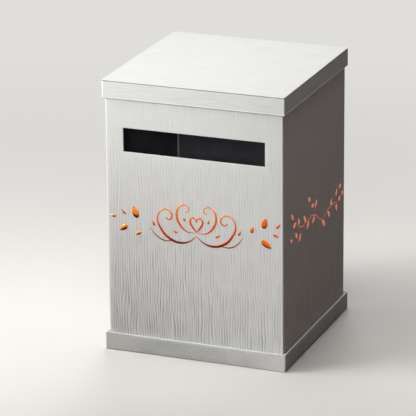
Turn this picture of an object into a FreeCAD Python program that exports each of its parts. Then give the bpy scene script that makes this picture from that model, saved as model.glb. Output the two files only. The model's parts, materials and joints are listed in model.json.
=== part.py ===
# A wedding card box of wrapped greyboard. A four-walled sleeve with a card slot stands loose in a
# shallow base tray, and a lid of the same make as the tray lifts off its top. Every wall is a board
# under embossed paper, and the paper is turned in over each rim and through the slot.
# Millimetres. +Z is up, the slot faces -Y, and the origin is the centre of the underside.
import FreeCAD
import Part
import os

# Stock
BOARD = 2.0             # greyboard
PAPER = 0.3             # embossed wrapping paper with its glue
LINING = 0.3            # lining paper with its glue
TAPE = 0.15             # gummed corner tape
CORNER_RADIUS = 1.2     # outside of the paper at the upright corners
FOLD_RADIUS = 0.6       # outside of the paper where it folds over a board's square edge

# Sleeve
SLEEVE_WIDTH = 245.0
SLEEVE_DEPTH = 245.0
SLEEVE_HEIGHT = 367.5
SLEEVE_TURN_IN = 16.0   # paper folded to the inside at the top and bottom rims
WRAP_LAP = 14.0         # overlap on the back wall where the paper closes on itself

# Card slot
SLOT_WIDTH = 196.0
SLOT_HEIGHT = 32.5
SLOT_BELOW_TOP = 60.8   # from the sleeve's top rim to the slot's upper edge
SLOT_TURN_IN = 6.0      # paper folded through the slot onto the back of the board

# Linings and corner tapes
LINING_MARGIN = 2.0     # bare strip beside each upright corner inside the sleeve
LINING_GAP = 0.5        # between a lining sheet and the turned-in paper beside it
TAPE_LEG = 12.0         # how far a corner tape reaches along each wall

# Lid and base tray
LID_HEIGHT = 24.6
LID_CLEARANCE = 0.6     # on each side, between the sleeve and the lid's skirt
BASE_HEIGHT = 24.2
BASE_CLEARANCE = 1.9    # on each side, between the sleeve and the tray's wall
BASE_TURN_UNDER = 18.0  # paper folded under the tray's floor
BOTTOM_SHEET = 0.3      # sheet that covers the tray's underside
SHEET_MARGIN = 3.0      # from the tray's outline to the bottom sheet's edge
SHEET_GAP = 0.25        # round the sheet's middle, where it fills the space inside the turned-under paper

# Worked-out sizes
WALL = PAPER + BOARD + PAPER
FLOOR = PAPER + BOARD + LINING
SLEEVE_BOTTOM = BOTTOM_SHEET + FLOOR
SLEEVE_TOP = SLEEVE_BOTTOM + SLEEVE_HEIGHT
BOX_HEIGHT = SLEEVE_TOP + FLOOR
SLOT_MIDDLE = SLEEVE_TOP - SLOT_BELOW_TOP - SLOT_HEIGHT / 2

SAME_LEVEL = 0.001
CENTRE = FreeCAD.Vector(0, 0, 0)
UP = FreeCAD.Vector(0, 0, 1)
SIDES = {"front": 0, "right": 90, "back": 180, "left": 270}


def prism(width, depth, start, end, radius=0.0):
    # Upright block centred on the box's axis, with rounded upright edges.
    corner = FreeCAD.Vector(-width / 2, -depth / 2, min(start, end))
    solid = Part.makeBox(width, depth, abs(end - start), corner)
    if radius <= 0:
        return solid
    return solid.makeFillet(radius, [edge for edge in solid.Edges if edge.BoundBox.ZLength > SAME_LEVEL])


def folded(solid, levels):
    # Rounds every edge that lies at one of the levels, where the paper folds over a board.
    edges = []
    for edge in solid.Edges:
        low = edge.BoundBox.ZMin
        high = edge.BoundBox.ZMax
        if any(abs(low - level) < SAME_LEVEL and abs(high - level) < SAME_LEVEL for level in levels):
            edges.append(edge)
    return solid.makeFillet(FOLD_RADIUS, edges)


def on_side(shape, side):
    # Turns a piece made for the front round the upright axis to another side.
    turned = shape.copy()
    turned.rotate(CENTRE, UP, SIDES[side])
    return turned


def run_and_reach(side, width, depth):
    # A wall's length, and its distance from the box's axis, in a width by depth plan.
    if side in ("front", "back"):
        return width, depth / 2
    return depth, width / 2


def mitred(walls, width, depth, start, end):
    # Parts four walls at 45 degrees at the corners of their width by depth plan.
    boards = {}
    for side in SIDES:
        run, reach = run_and_reach(side, width, depth)
        plan = [
            FreeCAD.Vector(-run / 2, -reach, start),
            FreeCAD.Vector(run / 2, -reach, start),
            FreeCAD.Vector(run / 2 - BOARD, BOARD - reach, start),
            FreeCAD.Vector(BOARD - run / 2, BOARD - reach, start),
        ]
        face = Part.Face(Part.makePolygon(plan + plan[:1]))
        boards[side] = on_side(face.extrude(UP * (end - start)), side).common(walls)
    return boards


def corner_tapes(width, depth, start, end):
    # Four L-shaped strips in the inside corners of a width by depth space.
    ring = prism(width, depth, start, end).cut(prism(width - 2 * TAPE, depth - 2 * TAPE, start, end))
    ring = ring.cut(prism(width - 2 * TAPE_LEG, depth, start, end))
    return ring.cut(prism(width, depth - 2 * TAPE_LEG, start, end))


def front_block(width, height, middle, outer, inner):
    # Block across the front wall, centred on X, from one distance off the axis to another.
    corner = FreeCAD.Vector(-width / 2, -outer, middle - height / 2)
    return Part.makeBox(width, outer - inner, height, corner)


def slot_block(margin):
    # Block through the front wall, larger than the finished slot by a margin all round.
    width = SLOT_WIDTH + 2 * margin
    height = SLOT_HEIGHT + 2 * margin
    outside = SLEEVE_DEPTH / 2
    return front_block(width, height, SLOT_MIDDLE, outside, outside - 2 * WALL)


def folded_at_slot(wrap):
    # Rounds the slot's outer edges, where the paper folds into it.
    mouth = slot_block(0).BoundBox
    mouth.enlarge(SAME_LEVEL)
    edges = [edge for edge in wrap.Edges if mouth.isInside(edge.BoundBox)]
    edges = [edge for edge in edges if edge.BoundBox.YMax < SAME_LEVEL - SLEEVE_DEPTH / 2]
    return wrap.makeFillet(FOLD_RADIUS, edges)


def sleeve():
    low = SLEEVE_BOTTOM
    high = SLEEVE_TOP
    board_width = SLEEVE_WIDTH - 2 * PAPER
    board_depth = SLEEVE_DEPTH - 2 * PAPER
    inner_width = board_width - 2 * BOARD
    inner_depth = board_depth - 2 * BOARD
    clear_width = inner_width - 2 * PAPER
    clear_depth = inner_depth - 2 * PAPER

    # The boards' slot is larger than the finished slot by the paper that lines it.
    walls = prism(board_width, board_depth, low + PAPER, high - PAPER, CORNER_RADIUS - PAPER)
    walls = walls.cut([prism(inner_width, inner_depth, low, high), slot_block(PAPER)])

    # Tapes and linings lie between the turned-in rims, and the linings pass over the tapes.
    lining_low = low + SLEEVE_TURN_IN + LINING_GAP
    lining_high = high - SLEEVE_TURN_IN - LINING_GAP
    lining_height = lining_high - lining_low
    lining_middle = (lining_low + lining_high) / 2
    tapes = corner_tapes(inner_width, inner_depth, lining_low, lining_high)

    # The wrap is what the boards leave of the sleeve, less the bare inside between its turned-in rims.
    wrap = prism(SLEEVE_WIDTH, SLEEVE_DEPTH, low, high, CORNER_RADIUS)
    wrap = folded(wrap.cut(prism(clear_width, clear_depth, low, high)), [low, high])
    bare = prism(inner_width, inner_depth, low + SLEEVE_TURN_IN, high - SLEEVE_TURN_IN)
    wrap = wrap.cut([walls, tapes, bare.cut(slot_block(SLOT_TURN_IN)), slot_block(0)])
    wrap = folded_at_slot(wrap.removeSplitter())
    lap_corner = FreeCAD.Vector(CORNER_RADIUS - SLEEVE_WIDTH / 2, SLEEVE_DEPTH / 2, low + FOLD_RADIUS)
    wrap = wrap.fuse(Part.makeBox(WRAP_LAP, PAPER, SLEEVE_HEIGHT - 2 * FOLD_RADIUS, lap_corner))

    pieces = {"sleeve_wrap": wrap.removeSplitter(), "sleeve_corner_tapes": tapes}
    for side, board in mitred(walls, board_width, board_depth, low, high).items():
        run, reach = run_and_reach(side, inner_width, inner_depth)
        lining = front_block(run - 2 * LINING_MARGIN, lining_height, lining_middle, reach, reach - LINING)
        if side == "front":
            lining = lining.cut(slot_block(SLOT_TURN_IN + LINING_GAP))
        pieces[f"sleeve_{side}_board"] = board
        pieces[f"sleeve_{side}_lining"] = on_side(lining, side).cut(tapes)
    return pieces


def tray(name, panel, wall, closed, height, clearance, turn_under=0.0):
    # Open tray round one end of the sleeve. Its closed face lies at one level, and its walls stand from
    # there towards the sleeve. A tray with a turned-under margin has a separate sheet over its closed face.
    towards = 1 if closed < SLEEVE_BOTTOM else -1
    rim = closed + towards * height
    board_face = closed + towards * PAPER
    panel_face = board_face + towards * BOARD
    lining_face = panel_face + towards * LINING
    board_rim = rim - towards * PAPER
    tape_end = rim - towards * WALL

    inside_width = SLEEVE_WIDTH + 2 * clearance
    inside_depth = SLEEVE_DEPTH + 2 * clearance
    outside_width = inside_width + 2 * WALL
    outside_depth = inside_depth + 2 * WALL
    board_width = outside_width - 2 * PAPER
    board_depth = outside_depth - 2 * PAPER
    inner_width = board_width - 2 * BOARD
    inner_depth = board_depth - 2 * BOARD

    boards = prism(board_width, board_depth, board_face, board_rim, CORNER_RADIUS - PAPER)
    boards = boards.cut(prism(inner_width, inner_depth, panel_face, board_rim))
    tapes = corner_tapes(inner_width, inner_depth, panel_face, tape_end)
    lining_width = inside_width - 2 * LINING_GAP
    lining_depth = inside_depth - 2 * LINING_GAP
    pieces = {
        f"{name}_{panel}_board": boards.common(prism(board_width, board_depth, board_face, panel_face)),
        f"{name}_corner_tapes": tapes,
        f"{name}_lining": prism(lining_width, lining_depth, panel_face, lining_face),
    }
    wall_start = min(panel_face, board_rim)
    wall_end = max(panel_face, board_rim)
    for side, board in mitred(boards, board_width, board_depth, wall_start, wall_end).items():
        pieces[f"{name}_{side}_{wall}_board"] = board

    # The wrap is what the boards and tapes leave of the tray.
    wrap = prism(outside_width, outside_depth, closed, rim, CORNER_RADIUS)
    wrap = wrap.cut(prism(inside_width, inside_depth, panel_face, rim))
    wrap = folded(wrap, [closed, rim]).cut([boards, tapes])
    if turn_under > 0:
        window_width = outside_width - 2 * turn_under
        window_depth = outside_depth - 2 * turn_under
        wrap = wrap.cut(prism(window_width, window_depth, closed, board_face))
        middle = prism(window_width - 2 * SHEET_GAP, window_depth - 2 * SHEET_GAP, closed, board_face)
        sheet_width = outside_width - 2 * SHEET_MARGIN
        sheet_depth = outside_depth - 2 * SHEET_MARGIN
        sheet = prism(sheet_width, sheet_depth, closed - towards * BOTTOM_SHEET, closed)
        pieces[f"{name}_bottom_sheet"] = sheet.fuse(middle)
    pieces[f"{name}_wrap"] = wrap.removeSplitter()
    return pieces


def main():
    nodes = tray("base", "floor", "wall", BOTTOM_SHEET, BASE_HEIGHT, BASE_CLEARANCE, BASE_TURN_UNDER)
    nodes.update(sleeve())
    nodes.update(tray("lid", "top", "skirt", BOX_HEIGHT, LID_HEIGHT, LID_CLEARANCE))
    os.makedirs("parts", exist_ok=True)
    for name, shape in nodes.items():
        shape.exportStep(os.path.join("parts", f"{name}.step"))
        print(f"{name}: {len(shape.Solids)} solids, {shape.Volume:.1f} mm3, valid {shape.isValid()}")


main()
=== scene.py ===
import json
import math
import bmesh
import bpy
from mathutils import Matrix, Vector, noise


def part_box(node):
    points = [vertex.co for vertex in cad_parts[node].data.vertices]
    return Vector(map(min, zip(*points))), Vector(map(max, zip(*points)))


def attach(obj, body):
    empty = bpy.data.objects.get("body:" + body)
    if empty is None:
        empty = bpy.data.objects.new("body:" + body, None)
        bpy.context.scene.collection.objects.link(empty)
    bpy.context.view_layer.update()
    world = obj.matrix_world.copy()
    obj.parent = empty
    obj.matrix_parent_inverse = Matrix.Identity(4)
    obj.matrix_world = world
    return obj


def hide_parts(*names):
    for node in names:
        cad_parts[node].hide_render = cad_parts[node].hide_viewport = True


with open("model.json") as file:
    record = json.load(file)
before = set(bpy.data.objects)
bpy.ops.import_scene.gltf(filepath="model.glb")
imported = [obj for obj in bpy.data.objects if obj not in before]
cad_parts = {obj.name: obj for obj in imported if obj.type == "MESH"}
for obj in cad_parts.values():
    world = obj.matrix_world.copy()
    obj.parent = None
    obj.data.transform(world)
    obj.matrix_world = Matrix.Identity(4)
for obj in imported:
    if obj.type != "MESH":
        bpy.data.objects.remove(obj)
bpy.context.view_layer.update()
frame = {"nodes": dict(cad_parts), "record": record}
scene = bpy.context.scene
mm = 0.001
samePlace = 1e-5               # m, nearer than this counts as the same place
sameLevel = 1e-6               # m, the same for levels that are set exactly
facing = 0.7                   # a normal's part along an axis, above which a face looks that way
squareOn = 0.99                # the same for a face or an edge that lies along the axis
halfBend = math.pi / 4         # half of a fold's right angle
noiseSpan = (0.3, 0.7)         # where most of a noise texture's values lie
paperIor = 1.47


def linear(hexColour):
    # sRGB hex to the linear colour a socket takes
    parts = [int(hexColour[i:i + 2], 16) / 255 for i in (1, 3, 5)]
    return tuple(c / 12.92 if c <= 0.04045 else ((c + 0.055) / 1.055) ** 2.4 for c in parts) + (1.0,)


def addNode(tree, kind, values=None, links=None, **settings):
    # one node with its settings, its own values and the outputs that feed it; a colour mix takes
    # its factor at 0 and its colours at 6 and 7, and gives the mixed one at 2
    node = tree.nodes.new("ShaderNode" + kind)
    for name, value in settings.items():
        setattr(node, name, value)
    for name, value in (values or {}).items():
        node.inputs[name].default_value = value
    for name, source in (links or {}).items():
        tree.links.new(source, node.inputs[name])
    return node


def startMaterial(name):
    material = bpy.data.materials.new(name)
    material.use_nodes = True
    material.node_tree.nodes.clear()
    return material, material.node_tree


def endMaterial(tree, values, links):
    shader = addNode(tree, "BsdfPrincipled", values, links)
    addNode(tree, "OutputMaterial", links={"Surface": shader.outputs[0]})


# Wrapping paper

paperLook = {
    "white": "#E9EBE9",        # face of the sheet
    "foldWhite": "#F8F9F8",    # burnished where it bends
    "paintedLineGrey": "#8F9291",  # painted shade in the deepest lines of the ridges
    "mottleSize": 30.0,        # mm, cloudy change in the sheet
    "mottleShare": 0.2,        # beside the grain's painted valley shade
    "toneSpan": (0.35, 0.75),  # of both together, from the valleys' painted shade to white
    "waverSize": 26.0,         # mm, over which the grain lines sway
    "waverStretch": 0.45,      # slower along the lines than across them
    "sway": 3.2,               # mm
    "fineScale": 2.7,          # hair lines to each line of the grain
    "fineShare": 0.3,
    "rubbedFlat": 0.15,        # what a fold leaves of the grain
    "roughness": (0.70, 0.80),
    "sheen": 0.02,
}


def embossedPaper(name, piece, turn=0):
    # coated white cover paper embossed with a wood-grain plate: a soft satin white whose lines show where light
    # rakes over them, and whose low and deepest lines are also painted darker as painted shade. Read on the
    # flat sheet, so the grain runs round folds.
    material, tree = startMaterial(name)
    look = paperLook
    grainGap, grainLength, depth = piece["bumpGap"], piece["bumpLength"], piece["bumpDepth"]
    sheet = addNode(tree, "UVMap", uv_map="sheet").outputs[0]
    turned = addNode(tree, "Mapping", {"Rotation": (0, 0, math.radians(turn))}, {"Vector": sheet})
    swayMap = addNode(tree, "Mapping", {"Scale": (1, look["waverStretch"], 1)}, {"Vector": turned.outputs[0]})
    swayNoise = addNode(tree, "TexNoise", {"Scale": 1 / (look["waverSize"] * mm), "Detail": 1.0},
                        {"Vector": swayMap.outputs[0]}, noise_dimensions="2D")
    swayed = addNode(tree, "VectorMath", {1: (2 * look["sway"] * mm, 0, 0)},
                     {0: swayNoise.outputs["Color"], 2: turned.outputs[0]}, operation="MULTIPLY_ADD")
    stretch = addNode(tree, "Mapping", {"Scale": (2 / (grainGap * mm), 1 / (grainLength * mm), 1)},
                      {"Vector": swayed.outputs[0]})
    grain = addNode(tree, "TexNoise", {"Scale": 1.0, "Detail": 2.0, "Roughness": 0.45},
                    {"Vector": stretch.outputs[0]}, noise_dimensions="2D")
    fine = addNode(tree, "TexNoise", {"Scale": look["fineScale"], "Detail": 1.0},
                   {"Vector": stretch.outputs[0]}, noise_dimensions="2D")
    height = addNode(tree, "Math", {1: look["fineShare"]}, {0: fine.outputs[0], 2: grain.outputs[0]},
                     operation="MULTIPLY_ADD")
    # the grain is rubbed flat where the sheet bends over a board's edge
    fold = addNode(tree, "Attribute", attribute_name="fold").outputs["Fac"]
    keep = addNode(tree, "MapRange", {"To Min": 1.0, "To Max": look["rubbedFlat"]}, {"Value": fold})
    bump = addNode(tree, "Bump", {"Distance": depth * mm},
                   {"Height": height.outputs[0], "Strength": keep.outputs[0]})
    mottle = addNode(tree, "TexNoise", {"Scale": 1 / (look["mottleSize"] * mm), "Detail": 3.0},
                     {"Vector": sheet}, noise_dimensions="2D")
    # the grain's low lines are painted darker towards the valley colour as painted shade, mixed with a random
    # cloudy tone
    level = addNode(tree, "Math", {1: look["mottleShare"]}, {0: mottle.outputs[0], 2: grain.outputs[0]},
                    operation="MULTIPLY_ADD")
    tone = addNode(tree, "MapRange", {"From Min": look["toneSpan"][0], "From Max": look["toneSpan"][1]},
                   {"Value": level.outputs[0]})
    colour = addNode(tree, "Mix", {6: linear(piece["mottleAndValleyShade"]), 7: linear(look["white"])},
                     {0: tone.outputs[0]}, data_type="RGBA")
    # painted shade darkens the ridges' deepest lines
    paintedLineShade = addNode(tree, "Attribute", attribute_name="paintedLineShade").outputs["Fac"]
    shaded = addNode(tree, "Mix", {7: linear(look["paintedLineGrey"])}, {0: paintedLineShade, 6: colour.outputs[2]},
                     data_type="RGBA")
    worn = addNode(tree, "Mix", {7: linear(look["foldWhite"])}, {0: fold, 6: shaded.outputs[2]},
                   data_type="RGBA")
    rough = addNode(tree, "MapRange", {"From Min": noiseSpan[0], "From Max": noiseSpan[1],
                                       "To Min": look["roughness"][1], "To Max": look["roughness"][0]},
                    {"Value": fine.outputs[0]})
    endMaterial(tree, {"IOR": paperIor, "Specular IOR Level": look["sheen"]},
                {"Base Color": worn.outputs[2], "Roughness": rough.outputs[0], "Normal": bump.outputs[0]})
    return material


def newVerts(made):
    return [part for part in made["geom"] if isinstance(part, bmesh.types.BMVert)]


def extrudeLoop(bm, edges):
    verts = newVerts(bmesh.ops.extrude_edge_only(bm, edges=edges))
    fresh = set(verts)
    return [e for e in {e for v in verts for e in v.link_edges} if fresh.issuperset(e.verts)], verts


def raiseFaces(bm, faces, shift):
    # lifts a patch of faces off the sheet and gives it side walls
    verts = newVerts(bmesh.ops.extrude_face_region(bm, geom=faces))
    bmesh.ops.delete(bm, geom=[f for f in faces if f.is_valid], context="FACES")
    bmesh.ops.translate(bm, vec=shift, verts=verts)


def startWalls(low, high, radius, closedSide=None):
    # four upright walls with rounded corners, open at both ends or closed at the one that faces closedSide
    bm = bmesh.new()
    bmesh.ops.create_cube(bm, size=1.0)
    bmesh.ops.scale(bm, vec=high - low, verts=bm.verts)
    bmesh.ops.translate(bm, vec=(low + high) / 2, verts=bm.verts)
    bm.normal_update()
    ends = [f for f in bm.faces if abs(f.normal.z) > facing and f.normal.z != closedSide]
    bmesh.ops.delete(bm, geom=ends, context="FACES_ONLY")
    upright = [e for e in bm.edges if abs(e.verts[0].co.z - e.verts[1].co.z) > mm]
    bmesh.ops.bevel(bm, geom=upright, offset=radius, offset_type="OFFSET", segments=4, profile=0.5,
                    affect="EDGES", material=-1)
    return bm


def sliceWalls(bm, axis, places):
    for place in places:
        bmesh.ops.bisect_plane(bm, geom=bm.verts[:] + bm.edges[:] + bm.faces[:], dist=sameLevel,
                               plane_co=axis * place, plane_no=axis)


def openEdges(bm, level):
    return [e for e in bm.edges if e.is_boundary and all(abs(v.co.z - level) < samePlace for v in e.verts)]


def overRim(wall, radius, turnIn):
    # (inset, rise) steps in mm over a board's edge and down its other face
    steps = [(radius - radius * math.cos(halfBend * i), radius * math.sin(halfBend * i)) for i in (1, 2)]
    steps += [(wall - radius + radius * math.sin(halfBend * i), radius * math.cos(halfBend * i))
              for i in (0, 1, 2)]
    return steps + [(wall, radius - turnIn)]


def turnRim(bm, edges, half, steps, way):
    # folds the sheet on from an open edge by these steps, upwards first or downwards first
    inset = rise = 0.0
    for nextInset, nextRise in steps:
        edges, verts = extrudeLoop(bm, edges)
        factor = (half - nextInset * mm) / (half - inset * mm)
        bmesh.ops.scale(bm, vec=(factor, factor, 1), verts=verts)
        bmesh.ops.translate(bm, vec=(0, 0, way * (nextRise - rise) * mm), verts=verts)
        inset, rise = nextInset, nextRise


def thicken(bm, thickness):
    # closes the sheet on the board's side, and gives back the faces of that side
    front = set(bm.faces)
    bm.normal_update()
    bmesh.ops.solidify(bm, geom=bm.faces[:], thickness=thickness * mm)
    return set(bm.faces) - front


def divideRuns(bm, back, axis, stops, gap, reach=0.0):
    # parts the edges that run along an axis from stop to stop into even steps, on the sheet's face alone
    # and no nearer the middle than reach
    for start, end in zip(stops, stops[1:]):
        run = []
        wholeRun = 0.9 * (end - start)    # with room for what rounding takes off
        for edge in {e for f in bm.faces if f not in back for e in f.edges}:
            way = edge.verts[1].co - edge.verts[0].co
            middle = (edge.verts[0].co[axis] + edge.verts[1].co[axis]) / 2
            outside = max(abs(edge.verts[0].co.x), abs(edge.verts[0].co.y)) > reach
            straight = abs(way[axis]) > wholeRun and abs(way[axis]) > squareOn * way.length
            if outside and straight and start < middle < end:
                run.append(edge)
        steps = round((end - start) / (gap * mm))
        if steps > 1:
            bmesh.ops.subdivide_edges(bm, edges=run, cuts=steps - 1, use_grid_fill=True)


def emboss(bm, back, half, rise):
    # pushes the walls' faces out by what rise(point, outward) gives, and stores the painted shade it gives for
    # the lines left between
    layer = bm.verts.layers.float.new("paintedLineShade")
    for vert in {v for f in bm.faces if f not in back for v in f.verts}:
        if max(abs(vert.co.x), abs(vert.co.y)) > half - sameLevel:
            if abs(vert.co.y) > abs(vert.co.x):
                outward = Vector((0, math.copysign(1, vert.co.y), 0))
            else:
                outward = Vector((math.copysign(1, vert.co.x), 0, 0))
            lift, vert[layer] = rise(vert.co, outward)
            vert.co += outward * lift


def markFolds(bm, isFold):
    # the paper's material whitens these
    layer = bm.verts.layers.float.new("fold")
    for vert in bm.verts:
        vert[layer] = 1.0 if isFold(vert.co) else 0.0


def layOutSheet(bm, place):
    # the flat sheet's own coordinates, in metres
    layer = bm.loops.layers.uv.new("sheet")
    bm.normal_update()
    for face in bm.faces:
        for loop in face.loops:
            loop[layer].uv = place(loop.vert.co, face.normal)


def finishPaper(bm, name, material, body, node):
    mesh = bpy.data.meshes.new(name)
    bm.to_mesh(mesh)
    bm.free()
    mesh.polygons.foreach_set("use_smooth", [True] * len(mesh.polygons))
    mesh.materials.append(material)
    piece = bpy.data.objects.new(name, mesh)
    scene.collection.objects.link(piece)
    even = piece.modifiers.new("flatWalls", "WEIGHTED_NORMAL")
    even.keep_sharp = True
    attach(piece, body)
    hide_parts(node)
    print(name, "made:", len(mesh.polygons), "faces")


# Sleeve paper: one sheet round the four walls, turned in at both rims and through the slot

sleeveLook = {
    "cornerRadius": 1.2,       # mm, as all lengths below
    "foldRadius": 0.6,
    "wall": 2.6,               # across a rim
    "turnIn": 16.0,            # and down the inside
    "slotTurnIn": 6.0,
    "slotSpare": 0.5,          # the cut sheet stands off the free opening
    "lapWidth": 14.0,          # where the sheet closes on itself at the back
    "lapRise": 0.3,
    "thickness": 0.28,
    "columnGap": 0.7,          # steps of the mesh, fine across the ridges
    "rowGap": 8.0,
    "ridgeHeight": (0.7, 0.12),    # embossed grain at the foot and at the top
    "ridgeFall": 1.5,          # power by which it fades on the way up
    "ridgeGap": 3.6,
    "ridgeLength": 24.0,
    "ridgeSwing": 0.42,        # up and down from the middle height of 0.5
    "leastRidge": 0.1,
    "broadSway": 4.0,          # how far the lines drift, and over what width and height
    "broadSize": (30.0, 50.0),
    "smallSway": 1.7,
    "smallSize": (8.0, 16.0),
    "patchWidth": 9.0,         # patches where the lines are strong or weak
    "patchStrength": (0.95, 0.9),  # middle and swing
    "fineWidth": 2.1,          # hair lines between the ridges
    "fineSwing": 0.15,
    "lineShade": 0.65,         # strength of the painted shade in the deepest lines
    "fade": 5.0,               # the ridges die out this far from folds
    "bumpGap": 2.6,            # the material's own finer grain
    "bumpLength": 30.0,
    "bumpDepth": 0.22,
    "mottleAndValleyShade": "#E6E8E7",       # painted shade in the low lines of the material's grain, mixed with its cloudy tone
}


# each layer is a pattern of its own, cut from the same noise at another depth
noiseLayer = {"broad": 3.1, "small": 5.2, "patch": 9.9, "fine": 8.7, "baseSway": 2.3, "basePatch": 7.7}


def drift(across, up, size, layer):
    # smooth chance from about -1 to 1, over spots of this width and height; all in mm
    return noise.noise(Vector((across / size[0], up / size[1], layer)))


def pressedRidges(across, up, look):
    # wavering upright ridges that crowd, part and die away, 0 to about 1; mm in
    sway = (look["broadSway"] * drift(across, up, look["broadSize"], noiseLayer["broad"])
            + look["smallSway"] * drift(across, up, look["smallSize"], noiseLayer["small"]))
    ridge = math.sin(2 * math.pi * (across + sway) / look["ridgeGap"])
    middle, swing = look["patchStrength"]
    patch = drift(across, up, (look["patchWidth"], look["ridgeLength"]), noiseLayer["patch"])
    strength = max(look["leastRidge"], middle + swing * patch)
    fine = drift(across, up, (look["fineWidth"], look["ridgeLength"]), noiseLayer["fine"])
    return max(0.0, 0.5 + look["ridgeSwing"] * strength * ridge + look["fineSwing"] * fine)


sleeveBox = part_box("sleeve_wrap")
slotBox = [Vector(c) for c in frame["record"]["physics"]["openings"][0]["box_m"]]


def sleeveRidges(point, outward, look):
    # how far the sheet stands off its board at a point of a wall, in metres, and how much painted shade its
    # line gets there
    low, high = sleeveBox
    half, flat = high.x, high.x - look["cornerRadius"] * mm
    if outward.y:
        across = point.x if outward.y < 0 else 4 * half - point.x
        along = abs(point.x)
    else:
        across = 2 * half + point.y if outward.x > 0 else -2 * half - point.y
        along = abs(point.y)
    edge = look["foldRadius"] * mm
    room = min(flat - along, point.z - low.z - edge, high.z - edge - point.z)
    if outward.y < 0:
        slotLow, slotHigh = slotBox
        offSlot = max(abs(point.x) - slotHigh.x, slotLow.z - point.z, point.z - slotHigh.z)
        room = min(room, offSlot - 2 * edge)
    atFoot, atTop = look["ridgeHeight"]
    down = max(0.0, (high.z - point.z) / (high.z - low.z))
    height = atTop + (atFoot - atTop) * down ** look["ridgeFall"]
    strength = max(0.0, min(1.0, room / (look["fade"] * mm)))
    ridge = pressedRidges(across / mm, point.z / mm, look)
    # painted shade for the line here
    line = strength * look["lineShade"] * height / atFoot * max(0.0, 1 - 2 * ridge)
    return strength * height * mm * ridge, line


def makeSleevePaper(look):
    low, high = sleeveBox
    half = high.x
    slotLow, slotHigh = slotBox
    slotMiddle = Vector((0, -half, (slotLow.z + slotHigh.z) / 2))
    slotSpare = look["slotSpare"] * mm
    slotHalf = Vector((slotHigh.x, 0, (slotHigh.z - slotLow.z) / 2)) + Vector((slotSpare, 0, slotSpare))
    radius, corner = look["foldRadius"], look["cornerRadius"] * mm
    wallLow, wallHigh = low.z + radius * mm, high.z - radius * mm
    holeHalf = slotHalf + Vector((radius * mm, 0, radius * mm))
    flat = half - corner
    acrossStops = [-flat, look["lapWidth"] * mm - flat, -holeHalf.x, holeHalf.x, flat]
    upStops = [wallLow, slotMiddle.z - holeHalf.z, slotMiddle.z + holeHalf.z, wallHigh]

    bm = startWalls(Vector((-half, -half, wallLow)), Vector((half, half, wallHigh)), corner)
    sliceWalls(bm, Vector((1, 0, 0)), acrossStops[1:-1])
    sliceWalls(bm, Vector((0, 0, 1)), upStops[1:-1])

    # card slot: the sheet is cut away and folded through to the back of the board
    def inHole(co):
        offMiddle = abs(co.z - slotMiddle.z)
        return abs(co.x) < holeHalf.x + samePlace and offMiddle < holeHalf.z + samePlace and co.y < 0
    cutAway = [f for f in bm.faces if inHole(f.calc_center_median())]
    bmesh.ops.delete(bm, geom=cutAway, context="FACES")
    edges = [e for e in bm.edges if e.is_boundary and all(inHole(v.co) for v in e.verts)]
    steps = [(radius - radius * math.sin(halfBend * i), radius - radius * math.cos(halfBend * i))
             for i in (1, 2)]
    inner = look["wall"] - radius
    steps += [(radius - radius * math.cos(halfBend * i), inner + radius * math.sin(halfBend * i))
              for i in (0, 1, 2)]
    steps.append((look["slotTurnIn"], look["wall"]))
    outset, depth = radius, 0.0
    for nextOutset, nextDepth in steps:
        edges, verts = extrudeLoop(bm, edges)
        wider, higher = [(s + nextOutset * mm) / (s + outset * mm) for s in (slotHalf.x, slotHalf.z)]
        bmesh.ops.scale(bm, vec=(wider, 1, higher), space=Matrix.Translation(-slotMiddle), verts=verts)
        bmesh.ops.translate(bm, vec=(0, (nextDepth - depth) * mm, 0), verts=verts)
        outset, depth = nextOutset, nextDepth

    # lap: the sheet's end lies on its start down the back
    bm.normal_update()
    lap = [f for f in bm.faces if f.normal.y > squareOn and -flat < f.calc_center_median().x < acrossStops[1]]
    raiseFaces(bm, lap, (0, look["lapRise"] * mm, 0))

    steps = overRim(look["wall"], radius, look["turnIn"])
    turnRim(bm, openEdges(bm, wallHigh), half, steps, 1)
    turnRim(bm, openEdges(bm, wallLow), half, steps, -1)

    back = thicken(bm, look["thickness"])
    divideRuns(bm, back, 0, acrossStops, look["columnGap"])
    divideRuns(bm, back, 1, [-flat, flat], look["columnGap"])
    divideRuns(bm, back, 2, upStops, look["rowGap"])
    emboss(bm, back, half, lambda point, outward: sleeveRidges(point, outward, look))

    def sheetPlace(co, normal):
        # along the sheet from the middle of the front to its seam at the back left corner, and up
        if abs(normal.y) >= abs(normal.x):
            return (co.x if normal.y < 0 else 4 * half - co.x), co.z
        return (2 * half + co.y if normal.x > 0 else -2 * half - co.y), co.z
    layOutSheet(bm, sheetPlace)

    def isFold(co):
        pastRim = co.z > wallHigh + samePlace or co.z < wallLow - samePlace
        return pastRim or min(abs(co.x), abs(co.y)) > flat
    markFolds(bm, isFold)
    paper = embossedPaper("woodGrainEmbossedPaper", look)
    finishPaper(bm, "sleevePaper", paper, "sleeve", "sleeve_wrap")


makeSleevePaper(sleeveLook)


# Lid and base papers: a tray wrapped from one sheet, its side flaps lapped over the corners

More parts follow.
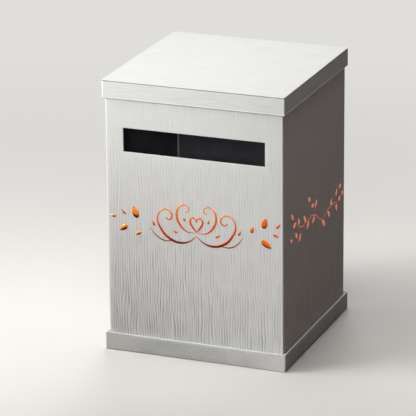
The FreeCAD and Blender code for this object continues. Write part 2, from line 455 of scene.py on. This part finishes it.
lidLook = {
    "cornerRadius": 1.2,       # mm, as all lengths below
    "foldRadius": 0.6,
    "wall": 2.6,
    "turnIn": 22.2,            # up the inside of the skirt to the panel
    "thickness": 0.28,
    "cutGap": 6.0,             # steps into which the long runs of the mesh are parted
    "dipDepth": 0.6,           # the sheet draws in below the panel's folded edge
    "dipBelow": 1.1,
    "dipEnd": 2.4,
    "beadOut": 0.45,           # the folded lower edge bulges a little
    "beadLow": 0.6,
    "beadTop": 1.0,
    "flapRise": 0.12,
    "flapEdge": 2.4,           # from the corner to the lapped flap's edge
    "bumpGap": 2.6,
    "bumpLength": 40.0,
    "bumpDepth": 0.02,
    # painted shade in the grain's low lines, mixed with cloudy tone
    "mottleAndValleyShade": "#DEE1DF",
    "grainTurn": 90,           # degrees
}
baseLook = {
    "cornerRadius": 1.2,       # mm, as all lengths below
    "foldRadius": 0.6,
    "footRadius": 0.95,        # rounder, so that a shadow lies along the floor
    "wall": 2.6,
    "turnIn": 21.8,
    "turnUnder": 18.0,
    "thickness": 0.28,
    "flapRise": 0.12,
    "flapEdge": 2.4,
    "columnGap": 0.6,          # steps of the mesh, fine both ways for leaning ridges
    "rowGap": 0.75,
    "ridgeHeight": 0.8,
    "ridgeGap": 2.8,
    "leastRidge": 0.05,
    "swaySize": (6.0, 8.0),    # across and along the ridges
    "patchSize": (26.0, 15.0),
    "patchStrength": (0.85, 0.6),  # middle and swing
    "lineShade": 0.65,
    "ridgeTurn": 52,           # degrees the ridges lean
    "fade": 3.0,
    "endSmooth": 18.0,         # no ridges this near a corner, and full ones this much further on
    "endFade": 40.0,
    "bumpGap": 2.2,
    "bumpLength": 9.0,
    "bumpDepth": 0.25,
    # painted shade in the grain's low lines, mixed with cloudy tone
    "mottleAndValleyShade": "#DDE0DE",
    "grainTurn": 50,           # degrees
}


def raiseFlaps(bm, half, look):
    # the side flaps lie over the ends of the front and back ones
    reach = half - look["flapEdge"] * mm
    bm.normal_update()
    for way in (-1, 1):
        flap = [f for f in bm.faces if f.normal.x * way > facing and abs(f.calc_center_median().y) < reach
                and f.calc_center_median().x * way > half - mm / 2]
        raiseFaces(bm, flap, (way * look["flapRise"] * mm, 0, 0))


def layOutTray(bm, half, level):
    # a flat panel at this level, with the four walls folded out beside it
    def sheetPlace(co, normal):
        away = half + abs(co.z - level)
        if abs(normal.z) > facing:
            return co.x, co.y
        if abs(normal.y) >= abs(normal.x):
            return co.x, math.copysign(away, co.y)
        return math.copysign(away, co.x), co.y
    layOutSheet(bm, sheetPlace)


def makeLidPaper(look):
    low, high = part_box("lid_wrap")
    half, radius = high.x, look["foldRadius"]
    rim = low.z + radius * mm
    bm = startWalls(Vector((-half, -half, rim)), high, look["cornerRadius"] * mm, closedSide=1.0)
    topEdges = [e for e in bm.edges if all(abs(v.co.z - high.z) < sameLevel for v in e.verts)]
    bmesh.ops.bevel(bm, geom=topEdges, offset=radius * mm, offset_type="OFFSET", segments=3, profile=0.5,
                    affect="EDGES", material=-1)
    flat = half - look["cornerRadius"] * mm
    reach = half - look["flapEdge"] * mm
    for axis in (Vector((1, 0, 0)), Vector((0, 1, 0))):
        sliceWalls(bm, axis, [-reach, reach])
    dip = [high.z - look[key] * mm for key in ("dipBelow", "dipEnd")]
    bead = [rim + look[key] * mm for key in ("beadLow", "beadTop")]
    sliceWalls(bm, Vector((0, 0, 1)), dip + bead)
    for level, shift in ((dip[0], -look["dipDepth"]), (bead[0], look["beadOut"])):
        ring = [v for v in bm.verts if abs(v.co.z - level) < sameLevel]
        factor = (half + shift * mm) / half
        bmesh.ops.scale(bm, vec=(factor, factor, 1), verts=ring)
    for edge in bm.edges:      # creases stay crisp
        edge.smooth = not any(all(abs(v.co.z - level) < sameLevel for v in edge.verts)
                              for level in (dip[0], *bead))
    raiseFlaps(bm, half, look)
    turnRim(bm, openEdges(bm, rim), half, overRim(look["wall"], radius, look["turnIn"]), -1)
    back = thicken(bm, look["thickness"])
    for axis in (0, 1):
        divideRuns(bm, back, axis, [-reach, reach], look["cutGap"])
    layOutTray(bm, half, high.z)
    markFolds(bm, lambda co: min(abs(co.x), abs(co.y)) > flat or co.z < rim - samePlace)
    paper = embossedPaper("fineGrainEmbossedPaper", look, look["grainTurn"])
    finishPaper(bm, "lidPaper", paper, "lid", "lid_wrap")


def baseRidges(point, outward, low, high, look):
    # short ridges that lean across the base's walls: metres off the board, and how much painted shade a line
    # gets there
    flat = high.x - look["cornerRadius"] * mm
    across = point.x * -outward.y if outward.y else point.y * outward.x
    along = abs(across)
    edge = look["foldRadius"] * mm
    room = min(point.z - low.z - edge, high.z - edge - point.z)
    inner = max(0.0, flat - along - look["endSmooth"] * mm)
    turn = math.radians(look["ridgeTurn"])
    side = (across * math.sin(turn) - point.z * math.cos(turn)) / mm
    run = (across * math.cos(turn) + point.z * math.sin(turn)) / mm
    wallLayer = outward.x + 3 * outward.y    # so that no two walls are alike
    sway = drift(side, run, look["swaySize"], noiseLayer["baseSway"] + wallLayer)
    wave = math.sin(2 * math.pi * (side + sway) / look["ridgeGap"])
    middle, swing = look["patchStrength"]
    patch = drift(across / mm, point.z / mm, look["patchSize"], noiseLayer["basePatch"] + wallLayer)
    ridge = max(0.0, 0.5 + 0.5 * max(look["leastRidge"], middle + swing * patch) * wave)
    strength = max(0.0, min(1.0, room / (look["fade"] * mm))) * min(1.0, inner / (look["endFade"] * mm))
    # painted shade for the line here
    line = strength * look["lineShade"] * max(0.0, 1 - 2 * ridge)
    return strength * look["ridgeHeight"] * mm * ridge, line


def makeBasePaper(look):
    low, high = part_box("base_wrap")
    half, radius, footRadius = high.x, look["foldRadius"], look["footRadius"]
    rim, foot = high.z - radius * mm, low.z + footRadius * mm
    bm = startWalls(Vector((-half, -half, foot)), Vector((half, half, rim)), look["cornerRadius"] * mm)
    flat = half - look["cornerRadius"] * mm
    reach = half - look["flapEdge"] * mm
    for axis in (Vector((1, 0, 0)), Vector((0, 1, 0))):
        sliceWalls(bm, axis, [-reach, reach])
    raiseFlaps(bm, half, look)
    turnRim(bm, openEdges(bm, rim), half, overRim(look["wall"], radius, look["turnIn"]), 1)
    under = overRim(look["turnUnder"], footRadius, 0.0)[:2] + [(look["turnUnder"], footRadius)]
    turnRim(bm, openEdges(bm, foot), half, under, -1)
    back = thicken(bm, look["thickness"])
    for axis in (0, 1):
        divideRuns(bm, back, axis, [-flat, -reach, reach, flat], look["columnGap"])
    divideRuns(bm, back, 2, [foot, rim], look["rowGap"], half - mm)
    emboss(bm, back, half, lambda point, outward: baseRidges(point, outward, low, high, look))
    layOutTray(bm, half, low.z)
    markFolds(bm, lambda co: min(abs(co.x), abs(co.y)) > flat or co.z > rim + samePlace)
    paper = embossedPaper("crossGrainEmbossedPaper", look, look["grainTurn"])
    finishPaper(bm, "basePaper", paper, "base_tray", "base_wrap")


makeLidPaper(lidLook)
makeBasePaper(baseLook)


# Foil ornament, stamped on the sleeve

foilLook = {
    # painted tones of the film, from its own bright face to painted shade on edges that roll down;
    # the leaf and stroke edge values give the slope where such an edge starts to take painted shade,
    # and how fast; the stroke fall gives the heights in mm between which pen lines are painted from
    # shaded at the bottom to bright at the top
    "front": {"bright": "#FF9226", "middle": "#DC4A0C", "paintedShade": "#520C08", "leafLevel": 1.0,
              "leafEdgeShade": (0.0, 15.0), "strokeShadeFall": (157.0, 208.0), "roughness": (0.22, 0.34)},
    # side walls' film: painted brighter than the front's, standing in for reflected light that the shaded side
    # walls lack; its hue is rosier too
    "side": {"bright": "#FF9076", "middle": "#F57058", "paintedShade": "#B04230", "leafLevel": 1.0,
             "leafEdgeShade": (0.10, 1.5), "strokeShadeFall": (110.0, 170.0), "roughness": (0.42, 0.52)},
    "right": {"leafLevel": 0.70, "leafEdgeShade": (0.02, 6.0)},    # leaves right of the scroll get a lower painted tone and softer painted edge shade, so they come out redder
    "strokeEdgeShade": (0.12, 1.5),     # as the leaves' painted edge shade
    "speckle": 0.8,            # mm, drawn coarse enough to show
    "speckleShare": 0.16,      # of the range of tones
    "speckleDepth": 0.02,      # mm
    "leafDome": 0.8,           # mm, the film stands proud of the sheet
    "leafSink": 0.06,
    "fullLeaf": 7.0,           # mm, narrower leaves are flatter too
    "leafHeel": 0.55,          # powers that round the heel and draw out the tip
    "leafTip": 0.92,
    "leafBelly": 1.045,        # about the widest value that these two give
    "leafSegments": (20, 14),
    "strokeFlat": 0.30,        # a stroke's height to its half width
    "strokeSink": 0.05,
    "strokeSides": 3,
    "strokeSteps": 9,          # from knot to knot
    "lift": 0.05,              # mm off the sheet
    "mergeWithin": 1e-7,       # m
}


def copperFoil(name, look, tones):
    # hot-stamped copper film: a smooth metal skin, warm orange on its face, with red-brown painted
    # shade on the edges that roll towards the floor and low on pen lines, standing in for the darker reflection
    # there
    material, tree = startMaterial(name)
    place = addNode(tree, "TexCoord").outputs["Object"]
    tone = addNode(tree, "Attribute", attribute_name="tone").outputs["Fac"]
    speckle = addNode(tree, "TexNoise", {"Scale": 1 / (look["speckle"] * mm), "Detail": 2.0}, {"Vector": place})
    share = look["speckleShare"]
    mixed = addNode(tree, "Math", {1: share, 2: -share / 2}, {0: speckle.outputs[0]}, operation="MULTIPLY_ADD")
    factor = addNode(tree, "Math", {}, {0: tone, 1: mixed.outputs[0]}, operation="ADD", use_clamp=True)
    lower = addNode(tree, "MapRange", {"From Max": 0.5}, {"Value": factor.outputs[0]})
    upper = addNode(tree, "MapRange", {"From Min": 0.5}, {"Value": factor.outputs[0]})
    warm = addNode(tree, "Mix", {6: linear(tones["paintedShade"]), 7: linear(tones["middle"])},
                   {0: lower.outputs[0]}, data_type="RGBA")
    colour = addNode(tree, "Mix", {7: linear(tones["bright"])}, {0: upper.outputs[0], 6: warm.outputs[2]},
                     data_type="RGBA")
    rough = addNode(tree, "MapRange", {"From Min": noiseSpan[0], "From Max": noiseSpan[1],
                                       "To Min": tones["roughness"][0], "To Max": tones["roughness"][1]},
                    {"Value": speckle.outputs[0]})
    bump = addNode(tree, "Bump", {"Distance": look["speckleDepth"] * mm}, {"Height": speckle.outputs[0]})
    endMaterial(tree, {"Metallic": 1.0},
                {"Base Color": colour.outputs[2], "Roughness": rough.outputs[0], "Normal": bump.outputs[0]})
    return material


def addLeaf(bm, leaf, place, look):
    # leaf: across, up, length, width in mm and the way its tip points in degrees
    across, up, length, width, angle = leaf
    around, lengthwise = look["leafSegments"]
    ball = bmesh.ops.create_uvsphere(bm, u_segments=around, v_segments=lengthwise, radius=1.0,
                                     matrix=Matrix.Rotation(math.pi / 2, 4, "Y"))
    dome = look["leafDome"] * min(1.0, width / look["fullLeaf"])
    for vert in ball["verts"]:
        t = max(-1.0, min(1.0, vert.co.x))    # from heel to tip
        belly = (1 + t) ** look["leafHeel"] * (1 - t) ** look["leafTip"] / look["leafBelly"]
        ring = math.sqrt(max(1e-9, 1 - t * t))    # the ball's own width, kept off zero at its poles
        vert.co.y *= belly / ring * width / 2
        vert.co.z *= (belly / ring) * (dome if vert.co.z > 0 else look["leafSink"])
        vert.co.x *= length / 2
    turn = Matrix.Rotation(math.radians(angle), 4, "Z")
    move = place @ Matrix.Scale(mm, 4) @ Matrix.Translation((across, up, look["lift"])) @ turn
    bmesh.ops.transform(bm, matrix=move, verts=ball["verts"])


def addStroke(bm, points, place, look):
    # points: across, up and half width in mm; a pen line that swells and thins
    curve = bpy.data.curves.new("penLine", "CURVE")
    curve.dimensions = "3D"
    curve.bevel_depth = 1.0
    curve.bevel_resolution = look["strokeSides"]
    curve.resolution_u = look["strokeSteps"]
    curve.use_fill_caps = True
    spline = curve.splines.new("BEZIER")
    spline.bezier_points.add(len(points) - 1)
    for knot, (across, up, halfWidth) in zip(spline.bezier_points, points):
        knot.co = (across, up, 0)
        knot.radius = halfWidth
        knot.handle_left_type = knot.handle_right_type = "AUTO"
    holder = bpy.data.objects.new("penLine", curve)
    mesh = bpy.data.meshes.new_from_object(holder)
    for vert in mesh.vertices:
        vert.co.z *= look["strokeFlat"] if vert.co.z > 0 else look["strokeSink"]
    mesh.transform(place @ Matrix.Scale(mm, 4) @ Matrix.Translation((0, 0, look["lift"])))
    pen = mesh.attributes.new("pen", "FLOAT", "POINT")
    pen.data.foreach_set("value", [1.0] * len(mesh.vertices))
    bm.from_mesh(mesh)
    bpy.data.objects.remove(holder)
    bpy.data.curves.remove(curve)
    bpy.data.meshes.remove(mesh)


def startFoil():
    # the pen layer tells lines from leaves
    bm = bmesh.new()
    bm.verts.layers.float.new("pen")
    return bm


def finishFoil(bm, name, material, outward, look, tones):
    bmesh.ops.remove_doubles(bm, verts=bm.verts, dist=look["mergeWithin"])
    bmesh.ops.recalc_face_normals(bm, faces=bm.faces)
    bm.normal_update()
    # painted shade: the tone drops on edges that roll towards the floor and, on pen lines, towards their bottom
    tone = bm.verts.layers.float.new("tone")
    pen = bm.verts.layers.float["pen"]
    low, high = tones["strokeShadeFall"]
    for vert in bm.verts:
        slope, gain = look["strokeEdgeShade"] if vert[pen] else tones["leafEdgeShade"]
        rolledShade = max(0.0, min(1.0, gain * (-vert.normal.z - slope)))
        level = (vert.co.z / mm - low) / (high - low) if vert[pen] else tones["leafLevel"]
        vert[tone] = max(0.0, min(1.0, level)) * (1 - rolledShade)
    for vert in bm.verts:      # the film follows the grain under it
        vert.co += outward * sleeveRidges(vert.co, outward, sleeveLook)[0]
    mesh = bpy.data.meshes.new(name)
    bm.to_mesh(mesh)
    bm.free()
    mesh.polygons.foreach_set("use_smooth", [True] * len(mesh.polygons))
    mesh.materials.append(material)
    piece = bpy.data.objects.new(name, mesh)
    scene.collection.objects.link(piece)
    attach(piece, "sleeve")
    print(name, "made:", len(mesh.polygons), "faces")


def wallPlace(across, outward):
    # flat drawing (across, up) to a wall of the sleeve, facing outward
    reach = sleeveBox[1].x
    up = Vector((0, 0, 1))
    turn = Matrix((across, up, outward)).transposed().to_4x4()
    return Matrix.Translation(outward * reach) @ turn


frontPlace = wallPlace(Vector((1, 0, 0)), Vector((0, -1, 0)))
rightPlace = wallPlace(Vector((0, 1, 0)), Vector((1, 0, 0)))
leftPlace = wallPlace(Vector((0, -1, 0)), Vector((-1, 0, 0)))

# front leaves, scattered at both sides of the scroll: across, up, length, width and turn, as addLeaf takes them
frontLeaves = {
    "left": [
        (-114.0, 187.6, 8.6, 3.6, -175), (-99.3, 195.0, 8.8, 3.4, 133), (-82.9, 196.5, 17.4, 8.9, 109),
        (-99.6, 172.7, 14.0, 6.8, -142), (-78.7, 167.2, 9.5, 4.2, -150),
    ],
    "right": [
        (80.5, 190.6, 9.4, 5.0, 76), (97.4, 201.2, 15.0, 8.1, 79), (116.1, 199.3, 8.8, 3.4, 46),
        (113.0, 185.7, 9.2, 3.6, -21), (100.1, 172.3, 17.0, 8.1, -36),
    ],
}

# scroll in the middle of the front, drawn for its right half and mirrored: across, up and half width in mm
scrollLook = {"middle": (3.0, 187.0)}
scrollLines = [
    # long sweep from under the heart into an outer curl
    [(0.6, -15.0, 0.4), (8, -21.5, 0.8), (22, -26, 1.5), (38, -21.5, 1.8), (50, -9, 1.5), (54.5, 5, 1.0),
     (49, 16, 0.8), (39.5, 17.5, 0.9), (34, 10.5, 1.1), (38, 4.5, 1.0), (43, 7.5, 0.7)],
    # inner sweep that rises beside the heart and curls in
    [(2.5, -10.5, 0.3), (13, -9.5, 0.8), (23, -1, 1.5), (27.5, 12, 1.6), (23, 24, 1.0), (14.5, 26.5, 0.8),
     (10.5, 20.5, 0.9), (14.5, 16.5, 0.7)],
    # outer tail
    [(33, -24.5, 0.3), (46, -25, 0.9), (57, -19, 0.8), (64.5, -9.5, 0.3)],
    # heart, one side
    [(0.0, -9.0, 0.7), (6.0, -1.5, 1.4), (8.6, 5.5, 1.5), (5.6, 10.2, 1.1), (1.6, 8.6, 0.8), (0.0, 4.6, 0.6)],
]
scrollDrops = [(60.0, -3.0, 8.0, 3.4, 62), (30.0, -11.0, 7.5, 3.2, 28), (17.0, 7.0, 6.0, 2.6, 74)]

# sprig across each side wall, from the front (-) to the back (+)
sprigLeaves = [
    (-87.3, 201.0, 11.5, 6.0, 121), (-90.9, 169.8, 5.6, 6.2, 90), (-72.2, 171.1, 10.5, 6.2, 128),
    (-57.9, 164.3, 12.5, 5.5, 50), (-78.6, 187.3, 12.0, 6.0, 24), (-62.4, 187.4, 10.0, 6.0, 92),
    (-39.5, 183.4, 13.5, 6.0, 124), (-26.9, 170.8, 13.4, 5.8, -133), (-5.7, 170.7, 12.6, 5.8, -143),
    (-22.0, 204.5, 8.8, 6.5, 130), (-7.8, 191.9, 10.5, 5.8, 10), (5.9, 190.5, 12.0, 5.0, 51),
    (35.0, 153.9, 15.2, 7.7, 135), (57.1, 159.5, 11.3, 7.2, 128), (67.2, 172.6, 11.0, 5.8, 67),
    (88.6, 180.7, 11.0, 5.5, 67), (103.9, 184.3, 9.0, 6.0, 25), (89.0, 157.8, 12.0, 5.8, -70),
    (101.2, 167.8, 9.5, 5.8, 37), (113.5, 172.0, 8.0, 5.5, 57),
]
sprigStems = [
    [(-73, 188.3, 0.20), (-64.4, 181.7, 0.41), (-55, 177.4, 0.54), (-46, 176.0, 0.54), (-37.6, 177.0, 0.41),
     (-27, 177.6, 0.48), (-15.2, 179.0, 0.54), (-4, 177.6, 0.54), (6, 173.6, 0.54), (17, 166.4, 0.48),
     (26, 161.6, 0.41), (36, 161.4, 0.41), (48.8, 165.6, 0.54), (62, 167.6, 0.54), (75, 168.2, 0.41),
     (86, 166.0, 0.41), (97, 164.6, 0.20)],
    [(2, 176.4, 0.27), (2.4, 182, 0.34), (4.4, 186.6, 0.20)],
]


def makeFoil(look):
    film = copperFoil("hotStampedCopperFoil", look, look["front"])
    # the sprigs' film is painted brighter, as painted reflection on the shaded side walls
    sideFilm = copperFoil("copperFoilPaintedBrighter", look, look["side"])
    for side, leaves in frontLeaves.items():
        bm = startFoil()
        for leaf in leaves:
            addLeaf(bm, leaf, frontPlace, look)
        tones = {**look["front"], **look.get(side, {})}
        finishFoil(bm, side + "LeavesFoil", film, Vector((0, -1, 0)), look, tones)

    bm = startFoil()
    middle, level = scrollLook["middle"]
    for way in (1, -1):
        for line in scrollLines:
            addStroke(bm, [(middle + way * a, level + u, w) for a, u, w in line], frontPlace, look)
        for a, u, length, width, angle in scrollDrops:
            turned = angle if way > 0 else 180 - angle
            addLeaf(bm, (middle + way * a, level + u, length, width, turned), frontPlace, look)
    finishFoil(bm, "scrollFoil", film, Vector((0, -1, 0)), look, look["front"])

    for name, place, way in (("rightSprigFoil", rightPlace, 1), ("leftSprigFoil", leftPlace, -1)):
        bm = startFoil()
        for a, u, length, width, angle in sprigLeaves:
            addLeaf(bm, (way * a, u, length, width, angle if way > 0 else 180 - angle), place, look)
        for stem in sprigStems:
            addStroke(bm, [(way * a, u, w) for a, u, w in stem], place, look)
        finishFoil(bm, name, sideFilm, Vector((way, 0, 0)), look, look["side"])


makeFoil(foilLook)


# Board, lining and tape keep their CAD shapes

# sizes of fibres and clouds and depth of the surface in mm
boardLook = {"pale": "#9C968D", "dark": "#7A746C", "fibre": 1.4, "cloud": 12.0,
             "depth": 0.08, "roughness": 0.86}
# the charcoal lining is painted mid grey, lighter than its dye, standing in for light in the box's dim inside
liningLook = {"pale": "#8A8B94", "dark": "#6E6F78", "fibre": 0.8, "cloud": 18.0,
              "depth": 0.04, "roughness": 0.82}
tapeLook = {"pale": "#F0ECEC", "dark": "#DDD7D8", "fibre": 1.0, "cloud": 9.0,
            "depth": 0.04, "roughness": 0.6}
pulpLook = {
    "cloudShare": 0.6,         # beside the fibres' own tone
    "toneSpan": (0.55, 1.05),  # of both together, from dark to pale
    "roughnessSpread": 0.06,
    "sheen": 0.3,
}


def pulpSheet(name, look):
    # matted fibre: cloudy tone with short specks, dull from every side
    material, tree = startMaterial(name)
    place = addNode(tree, "TexCoord").outputs["Object"]
    cloud = addNode(tree, "TexNoise", {"Scale": 1 / (look["cloud"] * mm), "Detail": 3.0}, {"Vector": place})
    fibre = addNode(tree, "TexNoise", {"Scale": 1 / (look["fibre"] * mm), "Detail": 3.0, "Roughness": 0.7},
                    {"Vector": place})
    level = addNode(tree, "Math", {1: pulpLook["cloudShare"]}, {0: cloud.outputs[0], 2: fibre.outputs[0]},
                    operation="MULTIPLY_ADD")
    tone = addNode(tree, "MapRange", {"From Min": pulpLook["toneSpan"][0], "From Max": pulpLook["toneSpan"][1]},
                   {"Value": level.outputs[0]})
    colour = addNode(tree, "Mix", {6: linear(look["dark"]), 7: linear(look["pale"])},
                     {0: tone.outputs[0]}, data_type="RGBA")
    roughness, spread = look["roughness"], pulpLook["roughnessSpread"]
    rough = addNode(tree, "MapRange", {"From Min": noiseSpan[0], "From Max": noiseSpan[1],
                                       "To Min": roughness - spread, "To Max": roughness + spread},
                    {"Value": fibre.outputs[0]})
    bump = addNode(tree, "Bump", {"Distance": look["depth"] * mm}, {"Height": fibre.outputs[0]})
    endMaterial(tree, {"IOR": paperIor, "Specular IOR Level": pulpLook["sheen"]},
                {"Base Color": colour.outputs[2], "Roughness": rough.outputs[0], "Normal": bump.outputs[0]})
    return material


# by the last word of a node's name
carriedOver = {
    "board": pulpSheet("pressedGreyboard", boardLook),
    "lining": pulpSheet("charcoalLiningPaintedLighter", liningLook),
    "sheet": pulpSheet("charcoalBottomPaintedLighter", liningLook),
    "tapes": pulpSheet("gummedCornerTape", tapeLook),
}
for nodeName, node in frame["nodes"].items():
    finish = carriedOver.get(nodeName.split("_")[-1])
    if finish:
        node.data.materials.clear()
        node.data.materials.append(finish)
print("board, lining and tape materials set")


# Studio

studioLook = {
    "floorHalf": 15.0,         # m
    "floorRoughness": 0.9,
    "floorSheen": 0.1,
    "floor": "#F6F4F1",
    "bounce": "#7E6A61",       # what the floor gives back to the box
    "backdrop": "#F1EEEA",     # beyond the floor's far edge
    "farFloor": "#DDDBD8",     # the floor goes over into this
    "farReach": (0.3, 1.5),    # m from the box, from start to end
    "ambient": "#E9ECF2",
    "ambientStrength": 0.045,
}
# places and sizes in m, spread in degrees, power in watts
lampLook = {
    "leftSoftbox": {"at": (-1.15, -0.55, 0.70), "aim": (0, 0, 0.25), "size": 0.6, "spread": 180, "power": 10.5,
                    "colour": "#FFFFFE"},
    "leftGridbox": {"at": (-1.05, -0.85, 0.80), "aim": (0, 0, 0.46), "size": 0.6, "spread": 40, "power": 1.1,
                    "colour": "#FFFFFE"},
    "overheadPanel": {"at": (-0.05, -0.25, 1.6), "aim": (0, 0, 0.3), "size": 1.0, "spread": 180, "power": 9.4,
                      "colour": "#FFFCF6"},
    "frontFill": {"at": (0.65, -2.4, 1.15), "aim": (-0.04, 0, 0.42), "size": 0.4, "spread": 22, "power": 0.19,
                  "colour": "#FFFFFF"},
    "footFill": {"at": (0.10, -1.8, 0.35), "aim": (0.16, -0.12, 0.03), "size": 0.3, "spread": 16, "power": 0.08,
                 "colour": "#FFFFFF"},
    "backPanel": {"at": (-0.6, 2.6, 1.9), "aim": (-0.1, 0.8, 0.05), "size": 1.6, "spread": 180, "power": 38.0,
                  "colour": "#FFFFFF"},
}
cameraLook = {
    "place": (1.291406, -3.355245, 1.393989),    # m
    "azimuth": 21.4785,        # degrees, as the next two
    "elevation": 18.7711,
    "roll": -0.5568,
    "lens": 245.467,           # mm, as the sensor's width
    "sensor": 36.0,
}


def seenDirectly(tree):
    # 1 for what the camera, a mirror or glass shows, 0 for light that the surface gives back
    path = addNode(tree, "LightPath")
    seen = addNode(tree, "Math", {}, {0: path.outputs["Is Camera Ray"], 1: path.outputs["Is Glossy Ray"]},
                   operation="ADD")
    return addNode(tree, "Math", {}, {0: seen.outputs[0], 1: path.outputs["Is Transmission Ray"]},
                   operation="ADD", use_clamp=True).outputs[0]


def makeStudio(look):
    bm = bmesh.new()
    bmesh.ops.create_grid(bm, x_segments=8, y_segments=8, size=look["floorHalf"])
    mesh = bpy.data.meshes.new("studioFloor")
    bm.to_mesh(mesh)
    bm.free()
    material, tree = startMaterial("matteStudioFloor")
    seen = seenDirectly(tree)
    colour = addNode(tree, "Mix", {6: linear(look["bounce"]), 7: linear(look["floor"])}, {0: seen},
                     data_type="RGBA")
    # far from the box the floor shows an even pale tone from every side, and near it keeps the shadow
    place = addNode(tree, "TexCoord").outputs["Object"]
    distance = addNode(tree, "VectorMath", {}, {0: place}, operation="LENGTH")
    far = addNode(tree, "MapRange", {"From Min": look["farReach"][0], "From Max": look["farReach"][1]},
                  {"Value": distance.outputs["Value"], "To Max": seen}, interpolation_type="SMOOTHSTEP")
    near = addNode(tree, "Mix", {7: (0, 0, 0, 1)}, {0: far.outputs[0], 6: colour.outputs[2]}, data_type="RGBA")
    endMaterial(tree, {"Roughness": look["floorRoughness"], "Specular IOR Level": look["floorSheen"],
                       "Emission Color": linear(look["farFloor"])},
                {"Base Color": near.outputs[2], "Emission Strength": far.outputs[0]})
    material.cycles.emission_sampling = "NONE"    # that tone is seen and lights nothing
    mesh.materials.append(material)
    floor = bpy.data.objects.new("studioFloor", mesh)
    scene.collection.objects.link(floor)

    world = bpy.data.worlds.new("studioAir")
    world.use_nodes = True
    tree = world.node_tree
    tree.nodes.clear()
    air = addNode(tree, "Background", {"Color": linear(look["ambient"]), "Strength": look["ambientStrength"]})
    backdrop = addNode(tree, "Background", {"Color": linear(look["backdrop"]), "Strength": 1.0})
    both = addNode(tree, "MixShader", {}, {0: seenDirectly(tree), 1: air.outputs[0], 2: backdrop.outputs[0]})
    addNode(tree, "OutputWorld", links={"Surface": both.outputs[0]})
    scene.world = world

    for name, lamp in lampLook.items():
        data = bpy.data.lights.new(name, "AREA")
        data.size = lamp["size"]
        data.spread = math.radians(lamp["spread"])
        data.energy = lamp["power"]
        data.color = linear(lamp["colour"])[:3]
        holder = bpy.data.objects.new(name, data)
        holder.location = lamp["at"]
        aim = Vector(lamp["aim"]) - Vector(lamp["at"])
        holder.rotation_euler = aim.to_track_quat("-Z", "Y").to_euler()
        scene.collection.objects.link(holder)


def makeCamera(look):
    data = bpy.data.cameras.new("photoCamera")
    data.lens = look["lens"]
    data.sensor_width = look["sensor"]
    camera = bpy.data.objects.new("photoCamera", data)
    turns = (Matrix.Rotation(math.radians(look["azimuth"]), 4, "Z")
             @ Matrix.Rotation(math.radians(90 - look["elevation"]), 4, "X")
             @ Matrix.Rotation(math.radians(look["roll"]), 4, "Z"))
    camera.matrix_world = Matrix.Translation(look["place"]) @ turns
    scene.collection.objects.link(camera)
    scene.camera = camera


makeStudio(studioLook)
makeCamera(cameraLook)
bpy.context.scene.view_settings.view_transform = "Standard"
print("studio and camera set")
